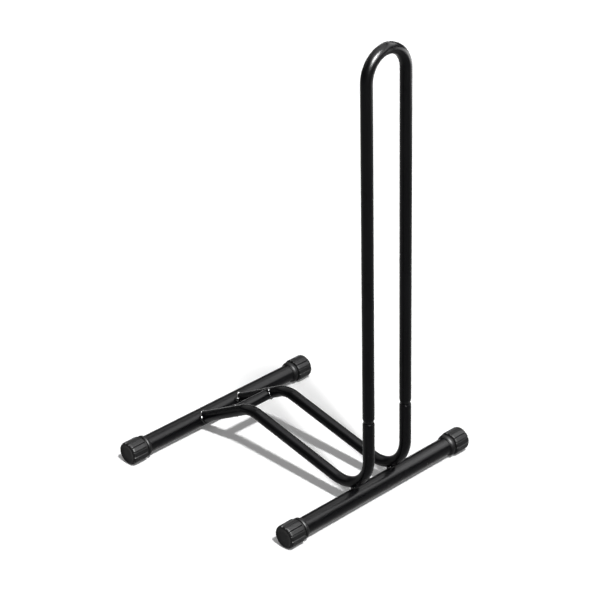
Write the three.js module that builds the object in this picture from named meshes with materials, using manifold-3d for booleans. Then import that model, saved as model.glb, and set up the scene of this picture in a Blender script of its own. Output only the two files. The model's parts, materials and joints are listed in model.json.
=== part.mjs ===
// Floor bike rack: two round feet with ribbed end caps, two bent side rails that cradle the wheel,
// a cross bar, and a tall hoop that plugs into the rails' uprights and lifts off.
// Millimetres, +Z up. The feet run along X, the hoop stands at the -Y end, and "left" is -X.
// The origin is on the floor, at the middle of the rack's outline.
import * as THREE from 'three';
import { mergeVertices } from 'three/addons/utils/BufferGeometryUtils.js';
import Module from 'manifold-3d';

const wasm = await Module();
wasm.setup();

// Overall sizes
const HEIGHT = 740; // floor to the top of the hoop
const FOOT_LENGTH = 393; // over both end caps
const FOOT_SPACING = 346; // between the axes of the two feet
const RAIL_SPACING = 80; // between the centre lines of the rails, and of the hoop's legs

// Tubes
const FOOT_DIAMETER = 28;
const FOOT_WALL = 1.5;
const RAIL_DIAMETER = 18; // the hoop is bent from the same tube
const RAIL_WALL = 1.5;
const CROSS_BAR_DIAMETER = 17;
const CROSS_BAR_WALL = 1.5;

// Side rails
const SOCKET_HEIGHT = 156; // floor to the rim of an upright
const UPRIGHT_SETBACK = 24.5; // an upright's centre line to the front foot's axis
const FRONT_BEND_RADIUS = 57; // on the centre line, as is the crest's
const CREST_BEND_RADIUS = 48;
const FRONT_SLOPE = THREE.MathUtils.degToRad(13.5); // from the front foot up to the crest
const REAR_SLOPE = THREE.MathUtils.degToRad(28); // from the crest down to the rear foot
const CROSS_BAR_SETBACK = 37; // crest's corner to the cross bar's axis, along Y

// Hoop ends, drawn down to spigots that plug into the uprights
const SPIGOT_LENGTH = 40;
const SPIGOT_CLEARANCE = 0.3; // all round, in the upright's bore
const SHOULDER_LENGTH = 5; // the cone between the spigot and the full tube
const SPIGOT_CHAMFER = 1.5;

// End caps
const CAP_DIAMETER = 37; // across the ribs' flat faces, one of which lies on the floor
const CAP_LENGTH = 39;
const CAP_END_WALL = 3.5;
const CAP_RIBS = 14;
const CAP_FLUTE_WIDTH = 1.8;
const CAP_FLUTE_DEPTH = 1.1;
const CAP_EDGE = 2.2; // chamfer at both ends of the ribs
const CAP_COLLAR_LENGTH = 7.6;
const CAP_COLLAR_DIAMETER = 35;
const CAP_MOUTH_DIAMETER = 31;
const CAP_GROOVE_WIDTH = 2; // between the collar and the ribs
const CAP_GROOVE_DIAMETER = 33;
const CAP_DISH_DIAMETER = 27; // the hollow in the end face
const CAP_DISH_DEPTH = 0.8;

// Weld beads
const REAR_WELD_RADIUS = 3.8; // of the round bead at a rail's end
const CROSS_BAR_WELD_RADIUS = 3;
const FRONT_WELD_REACH = 8; // from the point where a rail's bend rests on the front foot
const FRONT_WELD_THICKNESS = 8;

// Running gap between pieces that touch
const GAP = 0.3;

// Below these, two points are the same point, two heights the same height, and a share of a step is none
const SAME_POINT = 1e-6;
const SAME_HEIGHT = 1e-3;
const ROUNDING = 1e-9;

// Fineness of the round shapes
const TUBE_SIDES = 16;
const BEND_STEP = THREE.MathUtils.degToRad(10);
const WELD_STEPS = 24;
const WELD_SIDES = 8;
const CAP_SIDES = 2 * CAP_RIBS;
const COLLAR_STEPS = 4;

// Places that follow from the sizes
const FOOT_AXIS_HEIGHT = CAP_DIAMETER / 2;
const FOOT_RADIUS = FOOT_DIAMETER / 2;
const RAIL_RADIUS = RAIL_DIAMETER / 2;
const CROSS_BAR_RADIUS = CROSS_BAR_DIAMETER / 2;
const FRONT_FOOT = new THREE.Vector3(0, -FOOT_SPACING / 2, FOOT_AXIS_HEIGHT);
const REAR_FOOT = new THREE.Vector3(0, FOOT_SPACING / 2, FOOT_AXIS_HEIGHT);
const UPRIGHT_Y = FRONT_FOOT.y - UPRIGHT_SETBACK;
const SIDES = { left: -1, right: 1 };

const coat = new THREE.MeshStandardMaterial({ color: 0x0c0c0d, roughness: 0.22, metalness: 0 });
const capPlastic = new THREE.MeshStandardMaterial({ color: 0x1d1d1e, roughness: 0.55, metalness: 0 });

/** A tube's centre line: straight runs joined by round bends. The first and last corners are its ends,
 *  and a corner of radius 0 on a straight run only adds a station there. */
class BentLine extends THREE.Curve {
  constructor(corners, radii = []) {
    super();
    this.stations = [];
    const last = corners.length - 1;
    const heading = (i) => corners[i + 1].clone().sub(corners[i]).normalize();
    this.addStation(corners[0], heading(0));
    for (let i = 1; i < last; i++) this.addBend(corners[i], heading(i - 1), heading(i), radii[i - 1] ?? 0);
    this.addStation(corners[last], heading(last - 1));
  }

  addStation(point, tangent) {
    const previous = this.stations.at(-1);
    if (previous && previous.point.distanceTo(point) < SAME_POINT) return;
    this.stations.push({ point: point.clone(), tangent: tangent.clone() });
  }

  addBend(corner, before, after, radius) {
    if (radius === 0) {
      this.addStation(corner, after);
      return;
    }
    const turn = before.angleTo(after);
    const axis = before.clone().cross(after).normalize();
    const start = corner.clone().addScaledVector(before, -radius * Math.tan(turn / 2));
    const centre = start.clone().addScaledVector(axis.clone().cross(before), radius);
    const count = Math.ceil(turn / BEND_STEP - ROUNDING);
    for (let k = 0; k <= count; k++) {
      const angle = (turn * k) / count;
      const arm = start.clone().sub(centre).applyAxisAngle(axis, angle);
      this.addStation(centre.clone().add(arm), before.clone().applyAxisAngle(axis, angle));
    }
  }

  get steps() {
    return this.stations.length - 1;
  }

  getPointAt(u, target = new THREE.Vector3()) {
    return target.copy(this.stations[Math.round(u * this.steps)].point);
  }

  getTangentAt(u, target = new THREE.Vector3()) {
    return target.copy(this.stations[Math.round(u * this.steps)].tangent);
  }
}

function straight(from, to) {
  return new BentLine([from, to]);
}

/** A bar along a line, solid where no bore radius is given. */
function bar(line, radius, boreRadius = 0) {
  const section = new THREE.Shape().absarc(0, 0, radius, 0, 2 * Math.PI);
  if (boreRadius > 0) section.holes.push(new THREE.Path().absarc(0, 0, boreRadius, 0, 2 * Math.PI, true));
  return new THREE.ExtrudeGeometry(section, {
    steps: line.steps,
    curveSegments: TUBE_SIDES / 2,
    extrudePath: line,
  });
}

/** A closed geometry as a solid that can be joined and cut. */
function toSolid(geometry) {
  const bare = geometry.clone();
  bare.deleteAttribute('normal');
  bare.deleteAttribute('uv');
  const merged = mergeVertices(bare);
  const triangles = [];
  const index = merged.index.array;
  for (let i = 0; i < index.length; i += 3) {
    const [a, b, c] = index.slice(i, i + 3);
    if (a !== b && b !== c && c !== a) triangles.push(a, b, c);
  }
  return new wasm.Manifold(
    new wasm.Mesh({
      numProp: 3,
      vertProperties: new Float32Array(merged.attributes.position.array),
      triVerts: new Uint32Array(triangles),
    })
  );
}

function toGeometry(solid) {
  const { vertProperties, triVerts } = solid.getMesh();
  const geometry = new THREE.BufferGeometry();
  geometry.setAttribute('position', new THREE.BufferAttribute(new Float32Array(vertProperties), 3));
  geometry.setIndex(new THREE.BufferAttribute(new Uint32Array(triVerts), 1));
  geometry.computeVertexNormals();
  return geometry;
}

function cut(geometry, cutters) {
  return toGeometry(cutters.reduce((rest, cutter) => rest.subtract(cutter), toSolid(geometry)));
}

/** Side rails: the corners of the centre line, from the rear foot to the upright's rim. */
function railCorners(x) {
  const reach = FRONT_BEND_RADIUS + RAIL_RADIUS + FOOT_RADIUS + GAP;
  const rearward = FRONT_BEND_RADIUS - UPRIGHT_SETBACK;
  const bendHeight = FRONT_FOOT.z + Math.sqrt(reach ** 2 - rearward ** 2);
  const frontCornerZ = bendHeight - FRONT_BEND_RADIUS * Math.tan((Math.PI / 2 + FRONT_SLOPE) / 2);
  const rise = Math.tan(FRONT_SLOPE);
  const fall = Math.tan(REAR_SLOPE);
  const crestY =
    (REAR_FOOT.z + fall * REAR_FOOT.y - frontCornerZ + rise * UPRIGHT_Y) / (rise + fall);
  return {
    rear: new THREE.Vector3(x, REAR_FOOT.y, REAR_FOOT.z),
    crest: new THREE.Vector3(x, crestY, frontCornerZ + rise * (crestY - UPRIGHT_Y)),
    front: new THREE.Vector3(x, UPRIGHT_Y, frontCornerZ),
    rim: new THREE.Vector3(x, UPRIGHT_Y, SOCKET_HEIGHT),
    bendCentre: new THREE.Vector3(x, UPRIGHT_Y + FRONT_BEND_RADIUS, bendHeight),
  };
}

function railLine(x) {
  const { rear, crest, front, rim } = railCorners(x);
  return new BentLine([rear, crest, front, rim], [CREST_BEND_RADIUS, FRONT_BEND_RADIUS]);
}

/** What a neighbour of this piece is cut by: the piece, solid, with the running gap round it. */
function footCutter(foot) {
  const reach = new THREE.Vector3(RAIL_SPACING, 0, 0);
  return toSolid(bar(straight(foot.clone().sub(reach), foot.clone().add(reach)), FOOT_RADIUS + GAP));
}

function railCutter(x) {
  return toSolid(bar(railLine(x), RAIL_RADIUS + GAP));
}

function crossBarLine() {
  const { crest } = railCorners(0);
  const z = crest.z - CROSS_BAR_SETBACK * Math.tan(REAR_SLOPE);
  const y = crest.y + CROSS_BAR_SETBACK;
  return straight(
    new THREE.Vector3(-RAIL_SPACING / 2, y, z),
    new THREE.Vector3(RAIL_SPACING / 2, y, z)
  );
}

const railX = { left: (SIDES.left * RAIL_SPACING) / 2, right: (SIDES.right * RAIL_SPACING) / 2 };
const cutters = {
  frontFoot: footCutter(FRONT_FOOT),
  rearFoot: footCutter(REAR_FOOT),
  left: railCutter(railX.left),
  right: railCutter(railX.right),
  crossBar: toSolid(bar(crossBarLine(), CROSS_BAR_RADIUS + GAP)),
};

function footTube(foot) {
  const half = new THREE.Vector3(FOOT_LENGTH / 2 - CAP_END_WALL - GAP, 0, 0);
  const line = straight(foot.clone().sub(half), foot.clone().add(half));
  return bar(line, FOOT_RADIUS, FOOT_RADIUS - FOOT_WALL);
}

/** A rail's rear end is cut to saddle the rear foot, and its other end is the hoop's socket. */
function sideRail(x) {
  return cut(bar(railLine(x), RAIL_RADIUS, RAIL_RADIUS - RAIL_WALL), [cutters.rearFoot]);
}

function crossBar() {
  const tube = bar(crossBarLine(), CROSS_BAR_RADIUS, CROSS_BAR_RADIUS - CROSS_BAR_WALL);
  return cut(tube, [cutters.left, cutters.right]);
}

/** The hoop: a tube bent to an inverted U, with its ends drawn down to spigots. */
function hoop() {
  const x = RAIL_SPACING / 2;
  const top = HEIGHT - RAIL_RADIUS;
  const tip = SOCKET_HEIGHT - SPIGOT_LENGTH;
  const spigotRadius = RAIL_RADIUS - RAIL_WALL - SPIGOT_CLEARANCE;
  const legStations = [tip, tip + SPIGOT_CHAMFER, SOCKET_HEIGHT, SOCKET_HEIGHT + SHOULDER_LENGTH];
  const at = (side, z) => new THREE.Vector3(side * x, UPRIGHT_Y, z);
  const up = legStations.map((z) => at(SIDES.left, z));
  const down = legStations.map((z) => at(SIDES.right, z)).reverse();
  const straightStations = Array(legStations.length - 1).fill(0);
  const line = new BentLine(
    [...up, at(SIDES.left, top), at(SIDES.right, top), ...down],
    [...straightStations, x, x, ...straightStations]
  );
  const geometry = bar(line, RAIL_RADIUS, RAIL_RADIUS - RAIL_WALL);
  return drawDown(geometry, [
    { z: tip, radius: spigotRadius - SPIGOT_CHAMFER / 2 },
    { z: tip + SPIGOT_CHAMFER, radius: spigotRadius },
    { z: SOCKET_HEIGHT, radius: spigotRadius },
  ]);
}

/** Draws a leg's rings of points in to the given outer radii. The wall keeps its thickness. */
function drawDown(geometry, rings) {
  const position = geometry.attributes.position;
  const midWall = RAIL_RADIUS - RAIL_WALL / 2;
  for (let i = 0; i < position.count; i++) {
    const ring = rings.find(({ z }) => Math.abs(position.getZ(i) - z) < SAME_HEIGHT);
    if (!ring) continue;
    const legX = (Math.sign(position.getX(i)) * RAIL_SPACING) / 2;
    const dx = position.getX(i) - legX;
    const dy = position.getY(i) - UPRIGHT_Y;
    const from = Math.hypot(dx, dy);
    const to = from > midWall ? ring.radius : ring.radius - RAIL_WALL;
    position.setXY(i, legX + (dx * to) / from, UPRIGHT_Y + (dy * to) / from);
  }
  return geometry;
}

/** The outline of the ribs, seen along the cap: flat lands with a V-shaped flute between each two. */
function ribOutline() {
  const half = Math.PI / CAP_RIBS;
  const flat = CAP_DIAMETER / 2;
  const landHalf = flat * Math.tan(half) - CAP_FLUTE_WIDTH / 2;
  const fluteRadius = flat / Math.cos(half) - CAP_FLUTE_DEPTH;
  const points = [];
  for (let i = 0; i < CAP_RIBS; i++) {
    const turn = 2 * half * i;
    const centre = new THREE.Vector2();
    points.push(
      new THREE.Vector2(flat, -landHalf).rotateAround(centre, turn),
      new THREE.Vector2(flat, landHalf).rotateAround(centre, turn),
      new THREE.Vector2(fluteRadius, 0).rotateAround(centre, turn + half)
    );
  }
  return new THREE.Shape(points);
}

/** The cap's turned shape, as (radius, distance from the mouth): bore, collar, groove, ribs, dished end. */
function capProfile() {
  const bore = FOOT_RADIUS + GAP;
  const ribsFrom = CAP_COLLAR_LENGTH + CAP_GROOVE_WIDTH;
  const blank = CAP_DIAMETER / 2 / Math.cos(Math.PI / CAP_RIBS) + GAP;
  const mouth = CAP_MOUTH_DIAMETER / 2;
  const groove = CAP_GROOVE_DIAMETER / 2;
  const bulge = (CAP_COLLAR_DIAMETER - (CAP_MOUTH_DIAMETER + CAP_GROOVE_DIAMETER) / 2) / 2;
  const collar = [];
  for (let k = 0; k <= COLLAR_STEPS; k++) {
    const share = k / COLLAR_STEPS;
    const radius = THREE.MathUtils.lerp(mouth, groove, share) + bulge * Math.sin(Math.PI * share);
    collar.push(new THREE.Vector2(radius, CAP_COLLAR_LENGTH * share));
  }
  return [
    new THREE.Vector2(0, CAP_LENGTH - CAP_END_WALL),
    new THREE.Vector2(bore, CAP_LENGTH - CAP_END_WALL),
    new THREE.Vector2(bore, 0),
    ...collar,
    new THREE.Vector2(groove, ribsFrom),
    new THREE.Vector2(blank - CAP_EDGE, ribsFrom),
    new THREE.Vector2(blank, ribsFrom + CAP_EDGE),
    new THREE.Vector2(blank, CAP_LENGTH - CAP_EDGE),
    new THREE.Vector2(blank - CAP_EDGE, CAP_LENGTH),
    new THREE.Vector2(CAP_DISH_DIAMETER / 2, CAP_LENGTH),
    new THREE.Vector2(0, CAP_LENGTH - CAP_DISH_DEPTH),
  ];
}

/** An end cap, its axis along X and its end face at the origin, with a rib's flat face underneath. */
function endCap() {
  const turned = new THREE.LatheGeometry(capProfile(), CAP_SIDES).rotateX(Math.PI / 2);
  const ribs = new THREE.ExtrudeGeometry(ribOutline(), { depth: CAP_LENGTH + 2 * GAP, bevelEnabled: false });
  ribs.translate(0, 0, -GAP);
  const geometry = toGeometry(toSolid(turned).intersect(toSolid(ribs)));
  return geometry.translate(0, 0, -CAP_LENGTH).rotateY(Math.PI / 2);
}

/** A bead along the line where a bar's end meets the side of a round bar that crosses its axis.
 *  The bar's axis runs from the crossing point along heading, and the crossed bar lies along across. */
function endBead(crossing, heading, across, barRadius, crossedRadius, weldRadius, neighbours) {
  const up = heading.clone().cross(across).normalize();
  const points = [];
  for (let k = 0; k < WELD_STEPS; k++) {
    const angle = (2 * Math.PI * k) / WELD_STEPS;
    const height = barRadius * Math.sin(angle);
    const reach = Math.sqrt(crossedRadius ** 2 - height ** 2);
    points.push(
      crossing
        .clone()
        .addScaledVector(across, barRadius * Math.cos(angle))
        .addScaledVector(up, height)
        .addScaledVector(heading, reach)
    );
  }
  const line = new THREE.CatmullRomCurve3(points, true);
  return cut(new THREE.TubeGeometry(line, WELD_STEPS, weldRadius, WELD_SIDES, true), neighbours);
}

function rearWeld(side) {
  const { rear, crest } = railCorners(railX[side]);
  const heading = crest.clone().sub(rear).normalize();
  const across = new THREE.Vector3(1, 0, 0);
  const neighbours = [cutters.rearFoot, cutters[side]];
  return endBead(rear, heading, across, RAIL_RADIUS, FOOT_RADIUS, REAR_WELD_RADIUS, neighbours);
}

function crossBarWeld(side) {
  const { rear, crest } = railCorners(railX[side]);
  const crossing = crossBarLine().getPointAt(side === 'left' ? 0 : 1);
  const heading = new THREE.Vector3(-SIDES[side], 0, 0);
  const across = crest.clone().sub(rear).normalize();
  const neighbours = [cutters[side], cutters.crossBar];
  return endBead(
    crossing, heading, across, CROSS_BAR_RADIUS, RAIL_RADIUS, CROSS_BAR_WELD_RADIUS, neighbours
  );
}

/** The fillet round the point where a rail's front bend rests on the front foot. */
function frontWeld(side) {
  const { bendCentre } = railCorners(railX[side]);
  const foot = new THREE.Vector3(railX[side], FRONT_FOOT.y, FRONT_FOOT.z);
  const outward = bendCentre.clone().sub(foot).normalize();
  const contact = foot.clone().addScaledVector(outward, FOOT_RADIUS + GAP / 2);
  const blob = new THREE.SphereGeometry(1, WELD_STEPS, WELD_SIDES);
  blob.scale(FRONT_WELD_REACH, FRONT_WELD_REACH, FRONT_WELD_THICKNESS / 2);
  blob.rotateX(Math.atan2(-outward.y, outward.z));
  blob.translate(contact.x, contact.y, contact.z);
  return cut(blob, [cutters.frontFoot, cutters[side]]);
}

function add(group, name, geometry, material) {
  const mesh = new THREE.Mesh(geometry, material);
  mesh.name = name;
  group.add(mesh);
  return mesh;
}

const rack = new THREE.Group();

for (const [end, foot] of Object.entries({ front: FRONT_FOOT, rear: REAR_FOOT })) {
  add(rack, `${end}_foot_tube`, footTube(foot), coat);
  for (const [side, sign] of Object.entries(SIDES)) {
    const cap = add(rack, `${end}_${side}_cap`, endCap(), capPlastic);
    cap.position.set((sign * FOOT_LENGTH) / 2, foot.y, foot.z);
    cap.rotation.z = sign > 0 ? 0 : Math.PI;
  }
}

add(rack, 'cross_bar', crossBar(), coat);
add(rack, 'hoop', hoop(), coat);

for (const side of Object.keys(SIDES)) {
  add(rack, `${side}_rail`, sideRail(railX[side]), coat);
  add(rack, `front_${side}_weld`, frontWeld(side), coat);
  add(rack, `rear_${side}_weld`, rearWeld(side), coat);
  add(rack, `cross_bar_${side}_weld`, crossBarWeld(side), coat);
}

// The origin goes to the middle of the outline on the floor.
const outline = new THREE.Box3().setFromObject(rack, true);
rack.position.y = -(outline.min.y + outline.max.y) / 2;

export default rack;
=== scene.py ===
"""The looks of a floor bike rack: black coated tube, ribbed end caps and weld beads, in a pale studio.

Everything is in metres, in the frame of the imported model: +Z up, the feet along X, the hoop at the -Y end.
"""

from __future__ import annotations

import json
import logging
import math
from dataclasses import dataclass, field
from enum import Enum
from typing import Callable, Iterable

import bmesh
import bpy
import numpy as np
from mathutils import Matrix, Vector

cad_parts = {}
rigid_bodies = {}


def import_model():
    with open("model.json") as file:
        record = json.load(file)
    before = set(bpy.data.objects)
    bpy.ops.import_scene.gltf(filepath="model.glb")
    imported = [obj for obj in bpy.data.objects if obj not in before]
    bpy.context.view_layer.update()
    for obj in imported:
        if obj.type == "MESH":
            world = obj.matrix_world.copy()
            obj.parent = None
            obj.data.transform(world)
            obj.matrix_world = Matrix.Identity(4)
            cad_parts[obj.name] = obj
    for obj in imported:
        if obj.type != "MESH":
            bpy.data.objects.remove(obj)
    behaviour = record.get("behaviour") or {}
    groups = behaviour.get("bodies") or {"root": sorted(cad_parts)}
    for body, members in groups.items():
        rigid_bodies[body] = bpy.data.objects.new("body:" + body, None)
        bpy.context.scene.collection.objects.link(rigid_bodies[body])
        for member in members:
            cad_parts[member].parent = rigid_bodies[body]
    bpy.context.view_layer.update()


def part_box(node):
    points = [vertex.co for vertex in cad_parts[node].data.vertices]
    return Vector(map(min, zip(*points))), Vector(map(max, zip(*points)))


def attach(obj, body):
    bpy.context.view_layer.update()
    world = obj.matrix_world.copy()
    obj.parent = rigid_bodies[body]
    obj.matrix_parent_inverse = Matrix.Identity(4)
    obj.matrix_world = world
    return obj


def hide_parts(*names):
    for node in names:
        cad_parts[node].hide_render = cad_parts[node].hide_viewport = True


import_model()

LOG = logging.getLogger("bike_rack")
MM = 0.001
AXIS_X = Vector((1, 0, 0))
AXIS_Y = Vector((0, 1, 0))
AXIS_Z = Vector((0, 0, 1))
SEAM = 1e-6  # points closer than this are one point
END_REACH = 4 * SEAM  # a tube's end face and its edges lie within this of the end, along the tube
SHARP_ANGLE = math.radians(38)  # faces that meet at more than this keep a crisp edge
NOISE_LOW, NOISE_HIGH = 0.3, 0.7  # nearly all of a noise texture's values lie between these


class Side(Enum):
    """The two sides of the rack. Left is -X."""

    LEFT = -1
    RIGHT = 1

    @property
    def word(self) -> str:
        """The side's name, as the nodes spell it."""
        return self.name.lower()


class End(Enum):
    """The two ends of the rack. The hoop stands at the front."""

    FRONT = "front"
    REAR = "rear"


class Slot(Enum):
    """The record's material slots."""

    COAT = "powder_coat"
    CAP = "cap_plastic"


# ---------------------------------------------------------------------------------------------- nodes


def add_node(tree: bpy.types.NodeTree, kind: str, inputs: dict | None = None, **settings) -> bpy.types.Node:
    """Adds a node to a tree.

    Args:
        tree: The node tree.
        kind: The node's type.
        inputs: Socket names or numbers, each with a value or with the socket that feeds it.
        **settings: The node's own properties.

    Returns:
        The new node.
    """
    node = tree.nodes.new(kind)
    for name, value in settings.items():
        setattr(node, name, value)
    for name, value in (inputs or {}).items():
        if isinstance(value, bpy.types.NodeSocket):
            tree.links.new(value, node.inputs[name])
        else:
            node.inputs[name].default_value = value
    return node


def linear(hex_colour: str) -> tuple[float, float, float, float]:
    """Turns an sRGB colour, such as "#0a0a0b", to linear RGBA."""
    channels = [int(hex_colour[i : i + 2], 16) / 255 for i in (1, 3, 5)]
    return (*(c / 12.92 if c <= 0.04045 else ((c + 0.055) / 1.055) ** 2.4 for c in channels), 1.0)


# ------------------------------------------------------------------------------------------- finishes


@dataclass(frozen=True)
class PowderCoat:
    """Black polyester powder coat, baked on steel tube: glossy, with the fine orange peel of cured powder.

    The peel breaks a reflection's edge up, and the long waves of the drawn tube under it make the
    reflection wander along the tube.
    """

    name: str = "powder_coat_black_gloss"
    dark: str = "#030304"
    light: str = "#08080a"
    gloss: float = 0.28
    gloss_change: float = 0.07
    specular: float = 0.05
    peel: float = 3.2 * MM  # orange peel is nearer 1.5 mm, drawn coarse enough to show
    peel_height: float = 0.022 * MM
    wave: float = 11 * MM
    wave_height: float = 0.09 * MM
    wave_stretch: float = 3.5  # how much longer the waves and the clouds are along the tube
    cloud: float = 27.5 * MM

    def material(self) -> bpy.types.Material:
        """Builds the finish's material.

        Returns:
            The material, whose patterns follow the attribute skin_place.
        """
        material = bpy.data.materials.new(self.name)
        material.use_nodes = True
        tree = material.node_tree
        shader = tree.nodes["Principled BSDF"]
        place = add_node(tree, "ShaderNodeAttribute", attribute_name="skin_place").outputs["Vector"]
        long_place = add_node(
            tree,
            "ShaderNodeVectorMath",
            {0: place, 1: (1, 1, 1 / self.wave_stretch)},
            operation="MULTIPLY",
        ).outputs["Vector"]
        peel = add_node(tree, "ShaderNodeTexNoise", {"Vector": place, "Scale": 1 / self.peel, "Detail": 1.0})
        wave = add_node(
            tree, "ShaderNodeTexNoise", {"Vector": long_place, "Scale": 1 / self.wave, "Detail": 2.0}
        )
        cloud = add_node(
            tree, "ShaderNodeTexNoise", {"Vector": long_place, "Scale": 1 / self.cloud, "Detail": 3.0}
        )
        colour = add_node(
            tree,
            "ShaderNodeMix",
            {"Factor": cloud.outputs["Fac"], "A": linear(self.dark), "B": linear(self.light)},
            data_type="RGBA",
        )
        gloss = add_node(
            tree,
            "ShaderNodeMapRange",
            {
                "Value": cloud.outputs["Fac"],
                "From Min": NOISE_LOW,
                "From Max": NOISE_HIGH,
                "To Min": self.gloss - self.gloss_change / 2,
                "To Max": self.gloss + self.gloss_change / 2,
            },
        )
        waves = add_node(
            tree, "ShaderNodeBump", {"Height": wave.outputs["Fac"], "Distance": self.wave_height}
        )
        bump = add_node(
            tree,
            "ShaderNodeBump",
            {"Height": peel.outputs["Fac"], "Distance": self.peel_height, "Normal": waves.outputs["Normal"]},
        )
        tree.links.new(colour.outputs["Result"], shader.inputs["Base Color"])
        tree.links.new(gloss.outputs["Result"], shader.inputs["Roughness"])
        tree.links.new(bump.outputs["Normal"], shader.inputs["Normal"])
        shader.inputs["Specular IOR Level"].default_value = self.specular
        return material


# The coat runs together on a weld's rough steel, and cures thick and wet-looking there.
WELD_COAT = PowderCoat("powder_coat_black_on_weld", gloss=0.2, specular=0.16)


@dataclass(frozen=True)
class MouldedPolypropylene:
    """Black polypropylene, injection moulded in a spark-eroded tool: satin, with a fine even grain."""

    name: str = "polypropylene_black_satin"
    dark: str = "#040405"
    light: str = "#0a0a0b"
    gloss: float = 0.45
    specular: float = 0.07
    grain: float = 0.9 * MM  # a spark-eroded grain is nearer 0.1 mm, drawn coarse enough to show
    grain_height: float = 0.02 * MM
    cloud: float = 14 * MM

    def material(self) -> bpy.types.Material:
        """Builds the finish's material.

        Returns:
            The material, whose patterns follow the object's own coordinates.
        """
        material = bpy.data.materials.new(self.name)
        material.use_nodes = True
        tree = material.node_tree
        shader = tree.nodes["Principled BSDF"]
        place = add_node(tree, "ShaderNodeTexCoord").outputs["Object"]
        grain = add_node(
            tree, "ShaderNodeTexNoise", {"Vector": place, "Scale": 1 / self.grain, "Detail": 2.0}
        )
        cloud = add_node(
            tree, "ShaderNodeTexNoise", {"Vector": place, "Scale": 1 / self.cloud, "Detail": 3.0}
        )
        colour = add_node(
            tree,
            "ShaderNodeMix",
            {"Factor": cloud.outputs["Fac"], "A": linear(self.dark), "B": linear(self.light)},
            data_type="RGBA",
        )
        bump = add_node(
            tree, "ShaderNodeBump", {"Height": grain.outputs["Fac"], "Distance": self.grain_height}
        )
        tree.links.new(colour.outputs["Result"], shader.inputs["Base Color"])
        tree.links.new(bump.outputs["Normal"], shader.inputs["Normal"])
        shader.inputs["Roughness"].default_value = self.gloss
        shader.inputs["Specular IOR Level"].default_value = self.specular
        return material


@dataclass(frozen=True)
class StudioPaper:
    """White seamless paper, matt, a little brighter to the camera and in reflections than it is lit."""

    name: str = "studio_paper_white"
    colour: str = "#fafafa"
    lift: float = 0.13  # what a camera ray or a reflection sees on top of the lit colour

    def material(self) -> bpy.types.Material:
        """Builds the finish's material.

        Returns:
            The material, which keeps the shadows that fall on it.
        """
        material = bpy.data.materials.new(self.name)
        material.use_nodes = True
        tree = material.node_tree
        shader = tree.nodes["Principled BSDF"]
        path = add_node(tree, "ShaderNodeLightPath")
        seen = path.outputs["Is Camera Ray"]
        for kind in ("Is Glossy Ray", "Is Transmission Ray"):
            seen = add_node(
                tree, "ShaderNodeMath", {0: seen, 1: path.outputs[kind]}, operation="MAXIMUM"
            ).outputs["Value"]
        lift = add_node(tree, "ShaderNodeMath", {0: seen, 1: self.lift}, operation="MULTIPLY")
        shader.inputs["Base Color"].default_value = linear(self.colour)
        shader.inputs["Roughness"].default_value = 1.0
        shader.inputs["Specular IOR Level"].default_value = 0.0
        shader.inputs["Emission Color"].default_value = (1, 1, 1, 1)
        tree.links.new(lift.outputs["Value"], shader.inputs["Emission Strength"])
        return material


# --------------------------------------------------------------------------------- centre lines, rings


@dataclass(frozen=True)
class Ring:
    """One section of a skin: a point at angle a lies at centre + across * cos(a) + upward * sin(a)."""

    centre: Vector
    across: Vector
    upward: Vector
    run: float = 0.0  # the way along the piece, for patterns that follow it
    relief: float = 0.0  # how much of the skin's ribs or ripples this ring carries


@dataclass(frozen=True)
class Place:
    """A point on a centre line."""

    point: Vector
    tangent: Vector
    bend: float  # 1 in a bend, 0 on a straight run


@dataclass(frozen=True)
class Straight:
    """A straight stretch of a centre line."""

    start: Vector
    heading: Vector
    length: float

    def at(self, run: float) -> Place:
        """The place that far along the stretch."""
        return Place(self.start + self.heading * run, self.heading, 0.0)


@dataclass(frozen=True)
class Arc:
    """A round stretch of a centre line."""

    centre: Vector
    arm: Vector
    axis: Vector
    radius: float
    turn: float
    ramp: float = math.radians(14)  # the tube's section changes over this much of each end

    @property
    def length(self) -> float:
        """The arc's length."""
        return self.radius * self.turn

    def at(self, run: float) -> Place:
        """The place that far along the arc.

        Args:
            run: The way along the arc from its start.

        Returns:
            The place, with how much the tube's section is changed there.
        """
        angle = run / self.radius
        arm = Matrix.Rotation(angle, 3, self.axis) @ self.arm
        share = min(1.0, max(0.0, min(angle, self.turn - angle) / self.ramp))
        return Place(self.centre + arm, self.axis.cross(arm).normalized(), share * share * (3 - 2 * share))


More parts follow.
